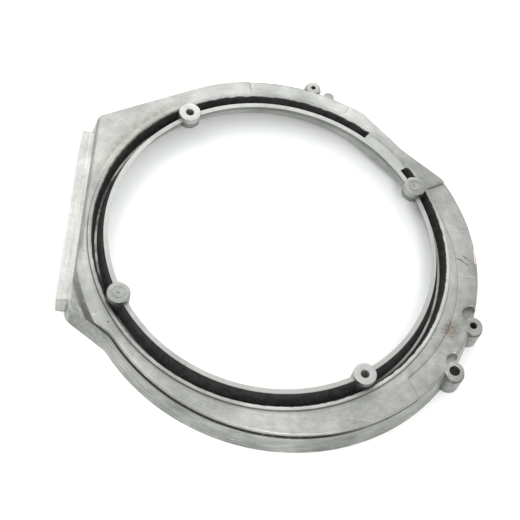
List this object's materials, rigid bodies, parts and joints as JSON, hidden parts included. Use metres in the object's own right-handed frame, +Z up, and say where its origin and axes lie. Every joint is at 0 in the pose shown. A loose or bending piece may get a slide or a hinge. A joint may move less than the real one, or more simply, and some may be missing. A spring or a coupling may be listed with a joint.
{
  "type": "fan shroud",
  "caption": "Open cast ring for an air-cooled engine's fan: flared opening with grooved rim and bosses, scroll-shaped deck, flat joint face, side outlet and screw lugs.",
  "frame": {"origin": "centre of the fan opening, in the plane of the joint face", "axes": "+Z up along the fan's axis out of the rim, -X towards the air outlet"},
  "size_m": [0.2886, 0.2908, 0.0275],
  "materials": {
    "cast_aluminium": "as die cast, dull, with old black paint left in the groove"
  },
  "bodies": {
    "root": {"shroud_casting": "cast_aluminium"}
  },
  "joints": []
}
